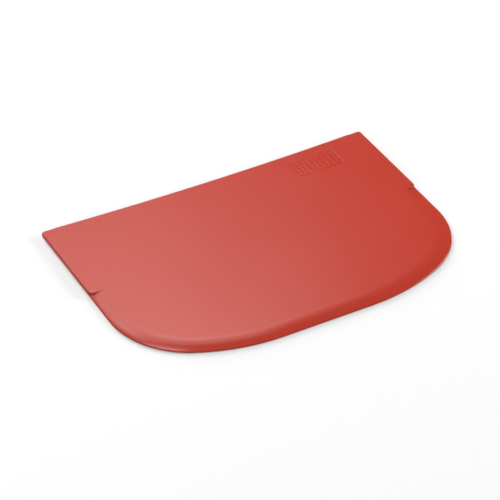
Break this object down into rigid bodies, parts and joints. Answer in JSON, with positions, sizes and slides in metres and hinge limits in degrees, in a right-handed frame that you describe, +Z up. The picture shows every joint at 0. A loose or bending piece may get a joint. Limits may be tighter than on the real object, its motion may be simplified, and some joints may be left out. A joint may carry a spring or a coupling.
{
  "type": "bench scraper",
  "caption": "D-shaped flexible scraper card with an almost straight back edge, a curved front thinned to a soft lip, and a perforated steel sheet moulded inside the silicone.",
  "frame": {"origin": "middle of the underside's bounding rectangle, on the plane that the scraper lies on", "axes": "+X along the back edge, +Y towards that edge and away from the curved lip, +Z up out of the patterned face"},
  "size_m": [0.15, 0.103, 0.002],
  "materials": {
    "silicone": "satin moulded silicone, through-coloured red",
    "spring_steel": "cold-rolled strip, stamped, with a fine grain along X"
  },
  "bodies": {
    "root": {"silicone_body": "silicone", "stiffener_core": "spring_steel"}
  },
  "joints": []
}
